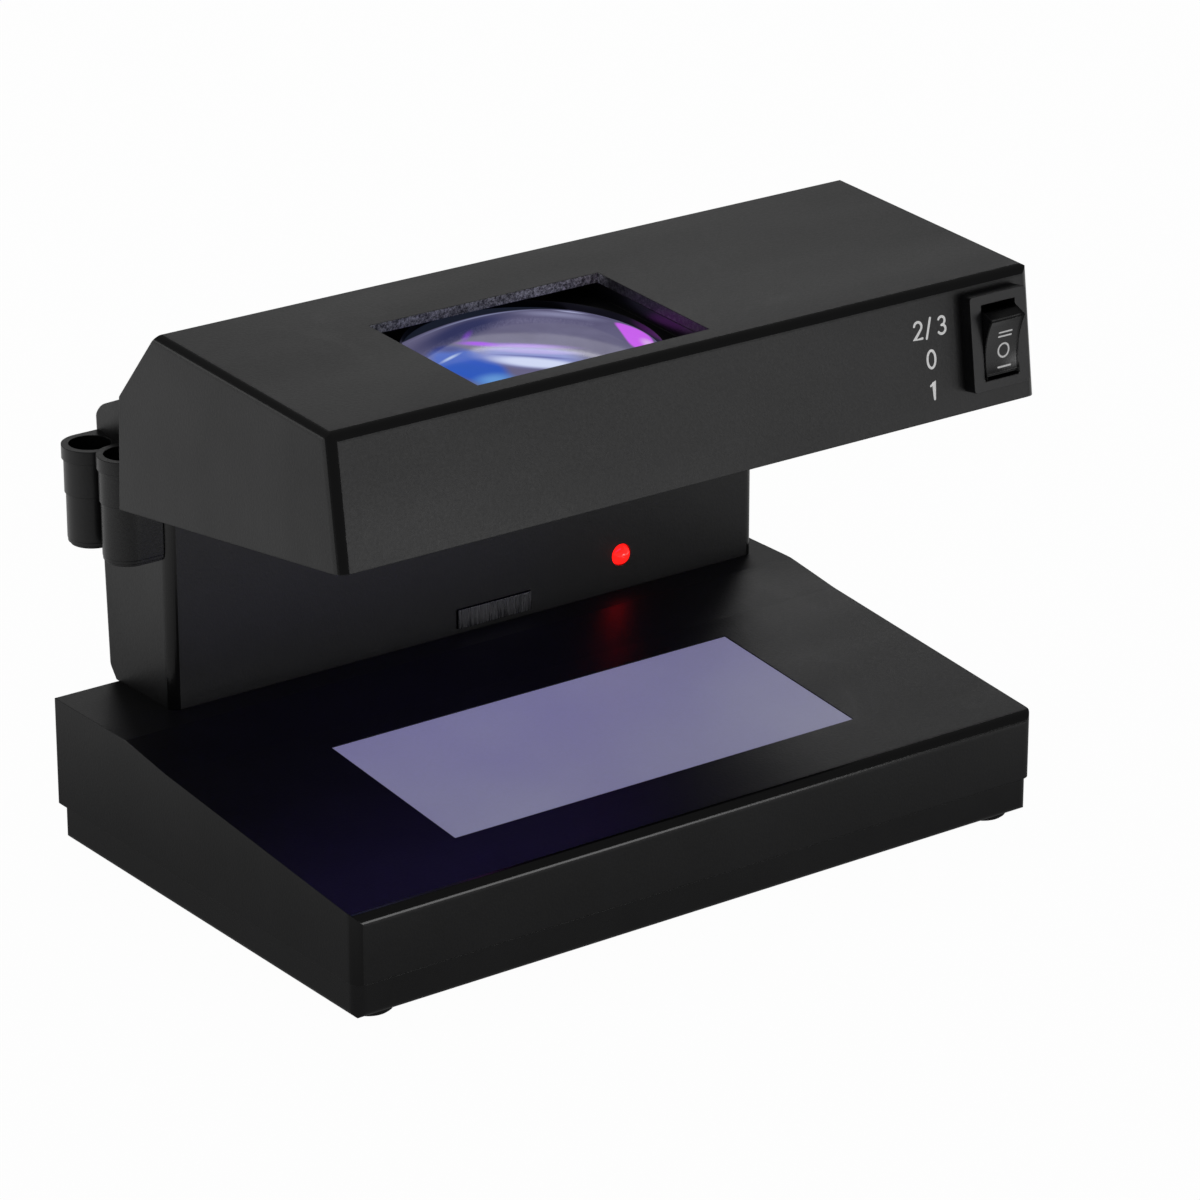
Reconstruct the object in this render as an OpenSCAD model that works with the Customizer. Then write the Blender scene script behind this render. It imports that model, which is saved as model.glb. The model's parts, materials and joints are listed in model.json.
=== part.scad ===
// Desktop counterfeit bill detector: a wedge base with a lit deck, a hollow column with two pen
// sockets, and a hood that carries an ultraviolet tube, a magnifier window and a mode switch.
// +X is the user's right, -Y the front, +Z up; the origin is under the middle, on the table.

/* [Casing] */
// Width of the hood and of the base
body_w = 180; // [176:1:190]
// Depth of the base, front to back
base_d = 116; // [114:1:118]
// Height of the deck behind, where the column stands
deck_back_h = 34; // [33:0.5:35]
// Height of the deck at its front edge
deck_front_h = 24.6; // [24:0.2:26]
// Height of the seam between the base's shell and its tray
seam_h = 9.2; // [8.8:0.1:9.6]
// Height of the hood's highest edge
total_h = 129.5; // [129:0.5:131]
// Thickness of the moulded walls
wall = 2.2; // [2:0.1:2.4]
// Radius of the long moulded edges
edge_r = 2.6; // [2:0.1:2.8]
// Radius of the edges round the ends of the hood
end_edge_r = 2; // [1.5:0.1:2.2]
// How far the feet stand out under the tray
foot_h = 1.4; // [1.2:0.1:2]

/* [Magnifier] */
// Width of the window in the hood's top
window_w = 58.4; // [56:0.1:60]
// Depth of that window
window_d = 38.6; // [37:0.1:40]
// Radius of the lens
lens_r = 28.5; // [28:0.1:29]
// Radius of the lens's two curved faces
lens_curve_r = 85; // [80:1:120]

/* [Lamps] */
// Radius of both fluorescent tubes
tube_r = 8; // [7.5:0.1:8]
// Length of a tube between the ends of its caps
tube_len = 136; // [134:1:136]
// Length of a metal cap
cap_len = 9; // [8:0.5:11]
// Length of the contact pins
pin_len = 7; // [6:0.1:7]
// Distance between the two pins of a cap
pin_pitch = 5; // [4.6:0.1:5]
// Radius of a pin
pin_r = 1.15; // [1:0.05:1.2]

/* [Switch] */
// Width of the switch's bezel
bezel_w = 15.3; // [15:0.1:15.5]
// Height of the bezel along the hood's front
bezel_h = 21; // [20.6:0.1:22]
// How far the bezel stands out from the hood's front
bezel_t = 3.3; // [2:0.1:3.5]
// Angle between two neighbouring positions of the rocker
rocker_step = 12; // [8:1:12]

/* [Pen sockets] */
// Radius of the bore that holds a pen
pen_r = 4.6; // [4.2:0.1:4.7]
// Outer radius of a socket
socket_r = 5.8; // [5.6:0.1:5.9]

/* [Hidden] */
$fn = 48;

black_abs = [0.10, 0.10, 0.105];
dark_abs = [0.05, 0.05, 0.055];
white_part = [0.93, 0.93, 0.9];
steel = [0.72, 0.73, 0.75];
gap = 0.15;        // gap all round a piece that is set into another
cut = 1;           // how far a cutting solid runs past what it cuts

// ---- Places in the side view, as [y, z] ----
half_w = body_w / 2;
base_front_y = -60.2;
base_back_y = base_front_y + base_d;
deck_break = [10, deck_back_h - 2.4];
deck_slope = (deck_break[1] - deck_front_h) / (deck_break[0] - base_front_y);
base_side = [[base_front_y, seam_h], [base_back_y, seam_h], [base_back_y, deck_back_h],
    [26, deck_back_h], deck_break, [base_front_y, deck_front_h]];

column_x = [-73.7, 84.6];
column_mid_x = (column_x[0] + column_x[1]) / 2;
column_front_y = 33;
column_back = [[59.4, 38.4], [61.7, 95.4]];
column_top_r = 8;             // rounding of the column's top rear corner
cover_drop = 2;               // the rear cover sits this far under the middle of the column's back
neck_bottom_z = 88.5;

hood_d = [-57.85, 97.8];      // front lower edge
hood_e = [25.1, 86.65];       // rear lower edge
hood_a = [23.8, 112];         // rear edge under the slanted panel
hood_b = [8.75, total_h];     // top rear edge
hood_c = [-54.1, total_h - 3.25];
hood_side = [hood_d, hood_e, hood_a, hood_b, hood_c];

function slope_angle(p, q) = atan2(q[1] - p[1], q[0] - p[0]);
function along(p, q, y) = p[1] + (q[1] - p[1]) * (y - p[0]) / (q[0] - p[0]);
top_angle = slope_angle(hood_c, hood_b);
under_angle = slope_angle(hood_d, hood_e);
front_angle = slope_angle(hood_d, hood_c);
back_angle = slope_angle(column_back[0], column_back[1]);

// Centre of the magnifier window on the hood's top
window_x = -20.9;
window_y = -29;
window_z = along(hood_c, hood_b, window_y);
lens_v = 2;                   // the lens sits this far behind the window's centre
lens_seat_w = -6.8;           // top of the lens's rim, under the hood's top
lens_rim_t = 2;
lens_dome_r = lens_r - 1.15;  // edge of the lens's two curved faces
lens_rise = sqrt(pow(lens_curve_r, 2) - pow(lens_dome_r, 2));
lens_flat_v = -21.3;          // flat on the lens's front, clear of the hood's front wall
frame_front_v = -22.9;        // front of the frame and the retainer

// Middle of the hood's underside
under_mid = (hood_d + hood_e) / 2;
plate_w = [2, 3.8];           // the base plate, above the hood's lower edge
uv_v = 25;
uv_w = 13.4;
uv_mid_x = -7;

// Watermark lamp in the base
wm_y = -20;
wm_z = 13.2;

// Centre of the switch on the hood's front
switch_x = 77.9;
switch_z = 112.6;
switch_y = hood_d[0] + (hood_c[0] - hood_d[0]) * (switch_z - hood_d[1]) / (hood_c[1] - hood_d[1]);
well_w = 9.3;
well_h = 16.6;
switch_body_w = 13.2;
switch_body_h = 19.2;
pivot_w = -1;
trunnion_r = 1.5;

socket_x = -79.2;
socket_y = [40, 54.3];        // front socket, rear socket
socket_top = [92.4, 90.6];
socket_seam = [82, 79.9];
socket_bottom = [68.5, 68.2];
socket_rim_h = 3;

boss_r = 3.6;
pilot_r = 1.25;
screw_r = 1.2;
screw_hole_r = 1.7;
head_r = 2.9;
tray_screws = [[-74, -42], [74, -42], [-74, 34], [74, 34]];
foot_xy = [[-82, -53], [82, -53], [-82, 46], [82, 46]];
column_screw_xy = [[-58, 45], [-12, 45], [72, 45]];
cover_screw_uw = [[-67, -20], [67, -20], [-67, 20], [67, 20]];
board_screw_xz = [[-56, 46], [56, 46], [-56, 78], [56, 78]];
plate_screw_xy = [[-82, -46], [60, -46], [-82, -12], [80, -8]];
neck_screw_xz = [[-62, 94], [-62, 103.5], [50, 94], [50, 103.5]];
lens_screw_uv = [[-34, -18], [34, -18], [-34, 22], [34, 22]];

indicator = [46.5, 42.5];     // x and z of the red indicator in the column's front
indicator_r = 2.5;
sensor_x = [1, 21];           // ends of the magnetic sensor head
sensor_z = [35.4, 39.8];      // its lower and upper faces

board_y = 42;                 // front face of the ballast board
board_t = 1.6;
lead_hole_r = 5;
lead_hole = [76, 100];        // x and z of the hole from the column into the hood
deck_hole = [24, 45];         // x and y of the hole from the column into the base

// Leads inside the casing: radius, and points on the way from the board
switch_lead_r = 1.6;
switch_lead = [[61, 46, 66], [70, 47, 70], [78, 46.5, 80], [78.5, 42, 94], [78.5, 34, 101],
    [78.5, 24, 102], [77, 12, 103], [73.4, -2, 105], [73.4, -14, 107.5], [76, -26, 110],
    [77.9, -35.1, 110]];
uv_lead_r = 1.1;
uv_lead = [[61, 46, 74], [68, 47, 76], [73, 46, 84], [73, 40, 94], [73.5, 32, 98],
    [73.5, 22, 98.5], [74, 14, 101], [73.4, 11, 104], [71.5, 10.6, 105.2]];
deck_lead_r = 1.4;
deck_lead = [[24, 46, 41], [24, 46, 24], [32, 43, 13], [48, 34, 8.5], [66, 18, 7],
    [72, 0, 7.6], [72.9, -11.8, 9.4]];

// ---- Outlines ----
// Points of an arc that rounds the corner q between p and s
function corner_arc(p, q, s, r, n) =
    let (u = (p - q) / norm(p - q), v = (s - q) / norm(s - q), half = acos(u * v) / 2,
        c = q + (u + v) / norm(u + v) * r / sin(half),
        from = q + u * r / tan(half) - c, to = q + v * r / tan(half) - c,
        a = atan2(from[1], from[0]), turn = (atan2(to[1], to[0]) - a + 540) % 360 - 180)
    r == 0 ? [q] : [for (i = [0:n]) c + r * [cos(a + turn * i / n), sin(a + turn * i / n)]];
function rounded(pts, radii, n = 8) = let (m = len(pts))
    [for (i = [0:m - 1]) each corner_arc(pts[(i + m - 1) % m], pts[i], pts[(i + 1) % m], radii[i], n)];
// A counter-clockwise outline moved inwards by d
function inward(p, q) = [p[1] - q[1], q[0] - p[0]] / norm(q - p);
function inset(pts, d) = let (m = len(pts)) [for (i = [0:m - 1])
    let (a = inward(pts[(i + m - 1) % m], pts[i]), b = inward(pts[i], pts[(i + 1) % m]))
    pts[i] + d * (a + b) / (1 + a * b)];
function box_outline(a, b) = [a, [b[0], a[1]], b, [a[0], b[1]]];

// Prisms along X, Y and Z
module side_prism(pts, x0, x1) {
    translate([x0, 0, 0]) rotate([90, 0, 90]) linear_extrude(x1 - x0) polygon(pts);
}
module front_prism(pts, y0, y1) {
    translate([0, y1, 0]) rotate([90, 0, 0]) linear_extrude(y1 - y0) polygon(pts);
}
module plan_prism(pts, z0, z1) {
    translate([0, 0, z0]) linear_extrude(z1 - z0) polygon(pts);
}
module block(a, b) {
    translate(a) cube(b - a);
}
module rod_x(r, x0, x1) {
    translate([x0, 0, 0]) rotate([0, 90, 0]) cylinder(r = r, h = x1 - x0);
}
module rod_y(r, y0, y1) {
    translate([0, y0, 0]) rotate([-90, 0, 0]) cylinder(r = r, h = y1 - y0);
}
module rod_z(r, z0, z1) {
    translate([0, 0, z0]) cylinder(r = r, h = z1 - z0);
}
// A pan-head screw along -Z, with its head's seat at the origin and a cross in the head
module screw(length, head = head_r) {
    difference() {
        union() {
            rod_z(screw_r, -length, 0.2);
            rod_z(head, 0, 1.7);
        }
        for (turn = [0, 90]) rotate([0, 0, turn]) translate([0, 0, 1.6]) cube([2.8, 0.7, 1.4], center = true);
    }
}
// Points of a smooth curve through a path, with n steps to a stretch
function on_path(path, i) = path[max(0, min(len(path) - 1, i))];
function smooth(path, n = 5) = let (last = len(path) - 1) [for (j = [0:n * last])
    let (i = min(floor(j / n), last - 1), t = j / n - i, a = on_path(path, i - 1),
        b = on_path(path, i), c = on_path(path, i + 1), d = on_path(path, i + 2))
    b + 0.5 * t * (c - a + t * (2 * a - 5 * b + 4 * c - d + t * (3 * (b - c) + d - a)))];
// Points of a circle of radius r round c, square to the direction d
function ring(c, d, r, sides) = let (u = cross(d, [0.3, 0.2, 1]), v = cross(d, u))
    [for (k = [0:sides - 1]) let (a = 360 * k / sides) c + r * (cos(a) * u / norm(u) + sin(a) * v / norm(v))];
// A round lead of radius r along the path, as one closed tube with flat ends
module lead(path, r, sides = 8) {
    let (pts = smooth(path), m = len(pts),
        start = [for (k = [0:sides - 1]) k],
        end = [for (k = [sides - 1:-1:0]) (m - 1) * sides + k],
        walls = [for (i = [0:m - 2]) for (k = [0:sides - 1])
            let (a = i * sides + k, b = i * sides + (k + 1) % sides)
            each [[b, a, a + sides], [b, a + sides, b + sides]]])
        polyhedron([for (i = [0:m - 1])
            each ring(pts[i], on_path(pts, i + 1) - on_path(pts, i - 1), r, sides)],
            concat([start, end], walls));
}

// Frames: on the hood's top, underside and front, on the deck, and on the column's back
module on_top() {
    translate([window_x, window_y, window_z]) rotate([top_angle, 0, 0]) children();
}
module on_under() {
    translate([0, under_mid[0], under_mid[1]]) rotate([under_angle, 0, 0]) children();
}
module on_front() {
    translate([switch_x, switch_y, switch_z]) rotate([front_angle, 0, 0]) children();
}
module on_deck() {
    translate([0, wm_y, deck_front_h + deck_slope * (wm_y - base_front_y)])
        rotate([atan(deck_slope), 0, 0]) children();
}
module on_back() {
    let (mid = (column_back[0] + column_back[1]) / 2)
        translate([column_mid_x, mid[0], mid[1]]) rotate([back_angle, 0, 0])
            translate([0, -cover_drop, 0]) rotate([0, 180, 0]) children();
}

// ---- Base ----
module base_solid() {
    intersection() {
        side_prism(rounded(base_side, [0, 0, 1.2, 0, 0, edge_r]), -half_w, half_w);
        plan_prism(rounded(box_outline([-half_w, base_front_y], [half_w, base_back_y]),
            [edge_r, edge_r, 1.2, 1.2]), 0, 60);
        translate([0, 0, deck_front_h + deck_slope * (0 - base_front_y)]) rotate([atan(deck_slope), 0, 0])
            front_prism(rounded(box_outline([-half_w, -50], [half_w, 1.8]), [0, 0, 1.4, 1.4]), -90, 90);
    }
}
module base_upper_shell() color(black_abs) {
    let (inner = inset(base_side, wall)) difference() {
        union() {
            difference() {
                base_solid();
                side_prism([inner[0] - [0, 9], inner[1] - [0, 9], inner[2], inner[3], inner[4], inner[5]],
                    wall - half_w, half_w - wall);
            }
            intersection() {
                base_solid();
                for (p = tray_screws) translate([p[0], p[1], 0]) rod_z(boss_r, seam_h, 60);
            }
        }
        for (p = tray_screws) translate([p[0], p[1], 0]) rod_z(pilot_r, 0, 21);
        for (p = column_screw_xy) translate([p[0], p[1], 0]) rod_z(screw_hole_r, 28, 40);
        translate([deck_hole[0], deck_hole[1], 0]) rod_z(lead_hole_r, 28, 40);
        on_deck() {
            block([-50, -20, -8], [50, 20, 4]);
            block([-53, -23, -1.6], [53, 23, 4]);
        }
        translate([60, 0, 20]) rod_y(4.7, 40, 60);
    }
}
module base_tray() color(black_abs) {
    let (x = half_w - 0.5, front = base_front_y + 0.5, back = base_back_y - 2.6,
        top = seam_h - 0.3, lip = half_w - wall - gap) {
        difference() {
            union() {
                intersection() {
                    side_prism(rounded(box_outline([front, foot_h], [back, top]), [1.5, 1.5, 0, 0]), -x, x);
                    front_prism(rounded(box_outline([-x, foot_h], [x, top]), [1.5, 1.5, 0, 0]), -90, 90);
                    plan_prism(rounded(box_outline([-x, front], [x, back]), [edge_r, edge_r, 1, 1]), 0, 30);
                }
                block([-lip, base_front_y + wall + gap, foot_h + 1], [lip, back, 12]);
            }
            block([1.6 - lip, base_front_y + wall + gap + 1.6, foot_h + 2], [lip - 1.6, back - 1.6, 20]);
            for (p = tray_screws) translate([p[0], p[1], 0]) rod_z(5.2, 4, 20);
            for (p = foot_xy) translate([p[0], p[1], 0]) rod_z(5.2, 0, foot_h + 0.8);
            translate([60, 0, 20]) rod_y(8, 40, 60);
            for (p = tray_screws) translate([p[0], p[1], 0]) rod_z(screw_hole_r, 0, 20);
        }
        for (p = tray_screws) translate([p[0], p[1], 0]) difference() {
            rod_z(4.6, foot_h + 1, top);
            rod_z(screw_hole_r, 0, 20);
            rod_z(head_r + 0.3, 0, 6);
        }
    }
}
module rubber_feet() color(dark_abs) {
    for (p = foot_xy) translate([p[0], p[1], 0]) difference() {
        union() {
            rod_z(5.1, 0.4, foot_h + 0.8);
            rod_z(4.6, 0, 1);
        }
        rod_z(2.4, -cut, 0.5);
    }
}
module base_screws() color(steel) {
    for (p = tray_screws) translate([p[0], p[1], 6]) mirror([0, 0, 1]) screw(11);
}
module cord_gland() color(dark_abs) {
    translate([60, 0, 20]) difference() {
        union() {
            rod_y(4.6, base_back_y - wall - 4, base_back_y + 2.4);
            rod_y(6.4, base_back_y, base_back_y + 2);
            rod_y(5.6, base_back_y - wall - 2.6, base_back_y - wall);
        }
        rod_y(3, 40, 70);
    }
}

// ---- Watermark lamp ----
module watermark_window() color(white_part) {
    on_deck() {
        block([-53 + gap, -23 + gap, -1.6], [53 - gap, 23 - gap, -0.1]);
        block([-50 + gap, -20 + gap, -2.4], [50 - gap, 20 - gap, -1.6]);
    }
}
// The glass of a tube about X, with its ends inside the caps
module tube_glass() {
    rod_x(tube_r - 0.4, cap_len / 2 - tube_len / 2, tube_len / 2 - cap_len / 2);
    rod_x(tube_r, cap_len - tube_len / 2, tube_len / 2 - cap_len);
}
module tube_caps() {
    for (side = [0, 1]) mirror([side, 0, 0]) {
        difference() {
            rod_x(tube_r - 0.1, tube_len / 2 - cap_len, tube_len / 2);
            rod_x(tube_r - 0.35, tube_len / 2 - cap_len - cut, tube_len / 2 - cap_len / 2);
        }
        for (y = [-1, 1]) translate([0, y * pin_pitch / 2, 0])
            rod_x(pin_r, tube_len / 2 - cut, tube_len / 2 + pin_len);
    }
}
// The two sockets of a tube about X, standing on a floor that is drop below the tube's axis
module lamp_holders(drop, gap_x = 0.4) {
    for (side = [0, 1]) mirror([side, 0, 0]) translate([tube_len / 2 + gap_x, 0, 0]) difference() {
        union() {
            block([0, -8, -drop], [9, 8, 0]);
            rod_x(8.8, 0, 9);
            block([2, -11, -drop], [7, 11, 3 - drop]);
        }
        rod_x(4.4, -cut, 7.6);
        block([-cut, -1.6, 0], [7.6, 1.6, 12]);
    }
}
module at_watermark_lamp() {
    translate([0, wm_y, wm_z]) children();
}
module watermark_tube() color([0.95, 0.95, 0.92, 0.9]) at_watermark_lamp() tube_glass();
module watermark_tube_caps() color(steel) at_watermark_lamp() tube_caps();
module watermark_lamp_holders() color(white_part) at_watermark_lamp() lamp_holders(wm_z - foot_h - 2);
module watermark_reflector() color(white_part) {
    let (floor_z = foot_h + 2.1, t = 0.6)
        side_prism([[wm_y - 19, 18], [wm_y - 10, floor_z], [wm_y + 10, floor_z], [wm_y + 19, 18],
            [wm_y + 19 - t, 18 + t / 2], [wm_y + 10 - t / 2, floor_z + t], [wm_y - 10 + t / 2, floor_z + t],
            [wm_y - 19 + t, 18 + t / 2]], -66, 66);
}

// ---- Column ----
column_side = [[column_front_y, deck_back_h], [55.9, deck_back_h], column_back[0], column_back[1],
    [23.87, 112], [25.07, neck_bottom_z], [column_front_y, neck_bottom_z]];
module column_solid() {
    intersection() {
        side_prism(rounded(column_side, [0, 0, 0, column_top_r, 0, 0, 0]), column_x[0], column_x[1]);
        union() {
            plan_prism(rounded(box_outline([column_x[0], column_front_y], [column_x[1], 70]),
                [edge_r, edge_r, 0, 0]), 0, 120);
            block([column_x[0], 20, neck_bottom_z], [column_x[1], 40, 120]);
        }
        on_back() front_prism(rounded(box_outline([column_mid_x - column_x[1], -80],
            [column_x[1] - column_mid_x, 0]), [0, 0, 1.5, 1.5]), -90, 90);
    }
}
module column_shell() color(black_abs) {
    let (inner = inset(column_side, wall)) difference() {
        union() {
            difference() {
                column_solid();
                side_prism(rounded(inner, [0, 0, 0, column_top_r - wall, 0, 0, 0]),
                    column_x[0] + wall, column_x[1] - wall);
            }
            for (p = board_screw_xz)
                translate([p[0], 0, p[1]]) rod_y(3, column_front_y + wall - 0.2, board_y);
            for (p = neck_screw_xz) translate([p[0], 0, p[1]]) rod_y(3.2, 25.6, 33);
            for (p = column_screw_xy) translate([p[0], p[1], 0]) rod_z(3.4, deck_back_h, deck_back_h + 6);
            on_back() {
                for (p = cover_screw_uw) translate([p[0], p[1], 0]) rod_z(3.4, -9, -2.3);
                block([-73, -26, -4], [73, 26, -wall + 0.2]);
            }
        }
        for (p = board_screw_xz) translate([p[0], 0, p[1]]) rod_y(pilot_r, board_y - 6, board_y + cut);
        for (p = neck_screw_xz) translate([p[0], 0, p[1]]) rod_y(pilot_r, 20, 32.4);
        for (p = column_screw_xy)
            translate([p[0], p[1], 0]) rod_z(pilot_r, deck_back_h - cut, deck_back_h + 5.4);
        on_back() {
            for (p = cover_screw_uw) translate([p[0], p[1], 0]) rod_z(pilot_r, -8.4, cut);
            block([-71, -24, -2.3], [71, 24, 4]);
            block([-63, -21, -8], [63, 21, 0]);
            block([-69, -15, -8], [69, 15, 0]);
        }
        translate([deck_hole[0], deck_hole[1], 0]) rod_z(lead_hole_r, 30, 40);
        translate([lead_hole[0], 0, lead_hole[1]]) rod_y(lead_hole_r, 20, 30);
        translate([indicator[0], 0, indicator[1]]) rod_y(indicator_r + 0.1, 30, 37);
        block([sensor_x[0] - 0.1, 30, sensor_z[0] - 0.1], [sensor_x[1] + 0.1, 37, sensor_z[1] + 0.1]);
    }
}
module column_screws() color(steel) {
    for (p = column_screw_xy) translate([p[0], p[1], deck_back_h - wall]) mirror([0, 0, 1]) screw(7);
}
module column_rear_cover() color(black_abs) {
    on_back() difference() {
        block([-71 + gap, -24 + gap, -2.3], [71 - gap, 24 - gap, -0.1]);
        for (p = cover_screw_uw) translate([p[0], p[1], 0]) {
            rod_z(screw_hole_r, -3, 1);
            rod_z(head_r + 0.3, -1.3, 1);
        }
        for (i = [-5:5]) translate([i * 7, 8, 0]) block([-1.2, -7, -3], [1.2, 7, 1]);
    }
}
module rear_cover_screws() color(steel) {
    on_back() for (p = cover_screw_uw) translate([p[0], p[1], -1.3]) screw(6.5, 2.7);
}

// ---- Ballast board, behind the column's front wall ----
module ballast_board() color([0.1, 0.36, 0.2]) {
    difference() {
        block([-62, board_y, 40.5], [62, board_y + board_t, 83]);
        for (p = board_screw_xz) translate([p[0], 0, p[1]]) rod_y(screw_hole_r, 30, 60);
    }
}
board_back_y = board_y + board_t;
module ballast_chokes() color([0.75, 0.62, 0.2]) {
    for (x = [-34, 10]) translate([x, board_back_y, 62]) {
        block([-8, 0, -6.5], [8, 2, 6.5]);
        block([-8, 10, -6.5], [8, 12, 6.5]);
        rod_y(5.4, 2, 10);
        for (s = [-1, 1]) block([s * 7 - 1, 2, -4], [s * 7 + 1, 10, 4]);
    }
}
module board_capacitors() color([0.12, 0.14, 0.3]) {
    for (x = [-14, 34]) translate([x, 0, 72]) {
        rod_y(4, board_back_y, board_back_y + 11.5);
        rod_y(3.6, board_back_y + 11.5, board_back_y + 12);
    }
    for (x = [-46, -20, 24]) block([x - 4, board_back_y, 47], [x + 4, board_back_y + 7, 50.5]);
}
module board_transistors() color(dark_abs) {
    for (x = [-6, 2, 30, 38]) translate([x, board_back_y, 52]) intersection() {
        block([-2.4, 0, -1.6], [2.4, 7, 2.4]);
        rod_y(2.4, 0, 7);
    }
}
module board_screws() color(steel) {
    for (p = board_screw_xz) translate([p[0], board_back_y, p[1]]) rotate([-90, 0, 0]) screw(6.4, 2.6);
}
module buzzer() color(dark_abs) {
    translate([46, board_back_y, 62]) difference() {
        rod_y(6, 0, 8);
        rod_y(1.1, 5, 9);
    }
}
module magnetic_sensor_head() color([0.55, 0.56, 0.58]) {
    let (mid_z = (sensor_z[0] + sensor_z[1]) / 2) {
        block([sensor_x[0], 32.4, sensor_z[0]], [sensor_x[1], 36.8, sensor_z[1]]);
        for (x = [4, 8, 14, 18]) block([x - 0.3, 36.8, mid_z - 0.3], [x + 0.3, 40, mid_z + 0.3]);
    }
}
module magnetic_indicator() color([0.85, 0.05, 0.05]) {
    translate([indicator[0], 0, indicator[1]]) {
        rod_y(indicator_r, 34, 38.4);
        rod_y(indicator_r + 0.4, column_front_y + wall, 36.2);
        intersection() {
            rod_y(indicator_r, 30, 34.5);
            translate([0, 34, 0]) sphere(r = indicator_r);
        }
    }
}

// ---- Pen sockets on the column's left side ----
module socket_outline(r) {
    let (to_x = column_x[0] - socket_x) intersection() {
        union() {
            circle(r = r);
            translate([0, -r]) square([to_x, 2 * r]);
        }
        translate([-r, -r]) square([r + to_x, 2 * r]);
    }
}
module at_socket(i) {
    translate([socket_x, socket_y[i], 0]) children();
}
module pen_sleeves() color(black_abs) {
    for (i = [0, 1]) at_socket(i) difference() {
        union() {
            translate([0, 0, socket_seam[i]]) linear_extrude(socket_top[i] - socket_seam[i])
                socket_outline(socket_r);
            translate([0, 0, socket_top[i] - socket_rim_h]) linear_extrude(socket_rim_h)
                socket_outline(socket_r + 0.4);
        }
        rod_z(pen_r, socket_seam[i] - cut, socket_top[i] + cut);
    }
}
module pen_cups() color(black_abs) {
    for (i = [0, 1]) at_socket(i) difference() {
        union() {
            translate([0, 0, socket_bottom[i] + 1.4]) linear_extrude(socket_seam[i] - socket_bottom[i] - 1.4)
                socket_outline(socket_r - 0.3);
            translate([0, 0, socket_bottom[i]]) linear_extrude(1.5)
                socket_outline(socket_r - 0.9);
            translate([0, 0, socket_bottom[i] + 0.6]) linear_extrude(1)
                socket_outline(socket_r - 0.4);
        }
        rod_z(pen_r, socket_bottom[i] + 2, socket_top[i]);
    }
}

// ---- Hood ----
module hood_solid() {
    intersection() {
        side_prism(rounded(hood_side, [0, 0, 0.8, 0.8, edge_r]), -half_w, half_w);
        on_front() translate([-switch_x, 0, 0])
            front_prism(rounded(box_outline([-half_w, -90], [half_w, 0]), [0, 0, edge_r, edge_r]), -90, 90);
        on_top() translate([-window_x, 0, 0])
            front_prism(rounded(box_outline([-half_w, -60], [half_w, 0]), [0, 0, end_edge_r, end_edge_r]),
                -90, 90);
    }
}
module hood_shell() color(black_abs) {
    let (inner = inset(hood_side, wall)) difference() {
        union() {
            difference() {
                hood_solid();
                side_prism(inner, wall - half_w, half_w - wall);
                side_prism([inner[0] - [0, 12], inner[1] - [0, 12], inner[1], inner[0]],
                    wall - half_w, half_w - wall);
            }
            intersection() {
                hood_solid();
                on_under() for (p = plate_screw_xy)
                    translate([p[0], p[1] - under_mid[0], 0]) rod_z(3.4, plate_w[1], 60);
            }
            on_top() for (p = lens_screw_uv) translate([p[0], p[1], 0]) rod_z(3.2, -5.2, -wall + 0.2);
        }
        on_under() for (p = plate_screw_xy)
            translate([p[0], p[1] - under_mid[0], 0]) rod_z(pilot_r, 0, 16);
        on_top() {
            block([-window_w / 2, -window_d / 2, -10], [window_w / 2, window_d / 2, 10]);
            for (p = lens_screw_uv) translate([p[0], p[1], 0]) rod_z(pilot_r, -12, -1.2);
        }
        on_front() block([-switch_body_w / 2 - gap, -switch_body_h / 2 - gap, -8],
            [switch_body_w / 2 + gap, switch_body_h / 2 + gap, 8]);
        for (p = neck_screw_xz) translate([p[0], 0, p[1]]) rod_y(screw_hole_r, 15, 30);
        translate([lead_hole[0], 0, lead_hole[1]]) rod_y(lead_hole_r, 15, 30);
    }
}
module hood_base_plate() color(dark_abs) {
    let (reach = norm(hood_e - hood_d) / 2 - wall - 0.5) on_under() difference() {
        union() {
            block([-half_w + wall + gap, -reach, plate_w[0]], [half_w - wall - gap, reach - 0.6, plate_w[1]]);
            block([window_x - 30, -34, plate_w[0]], [window_x + 30, 12, plate_w[1] + 6]);
        }
        block([window_x - 28, -32, -cut], [window_x + 28, 10, 20]);
        block([uv_mid_x - 65, uv_v - 9, -cut], [uv_mid_x + 65, uv_v + 9, 20]);
        for (p = plate_screw_xy) translate([p[0], p[1] - under_mid[0], 0]) rod_z(screw_hole_r, 0, 20);
    }
}
module plate_screws() color(steel) {
    on_under() for (p = plate_screw_xy)
        translate([p[0], p[1] - under_mid[0], plate_w[0]]) mirror([0, 0, 1]) screw(11, 2.7);
}
module hood_screws() color(steel) {
    for (p = neck_screw_xz)
        let (y = hood_e[0] + (p[1] - hood_e[1]) * (hood_a[0] - hood_e[0]) / (hood_a[1] - hood_e[1]))
        translate([p[0], y - wall - 0.2, p[1]]) rotate([90, 0, 0]) screw(9, 2.7);
}

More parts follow.
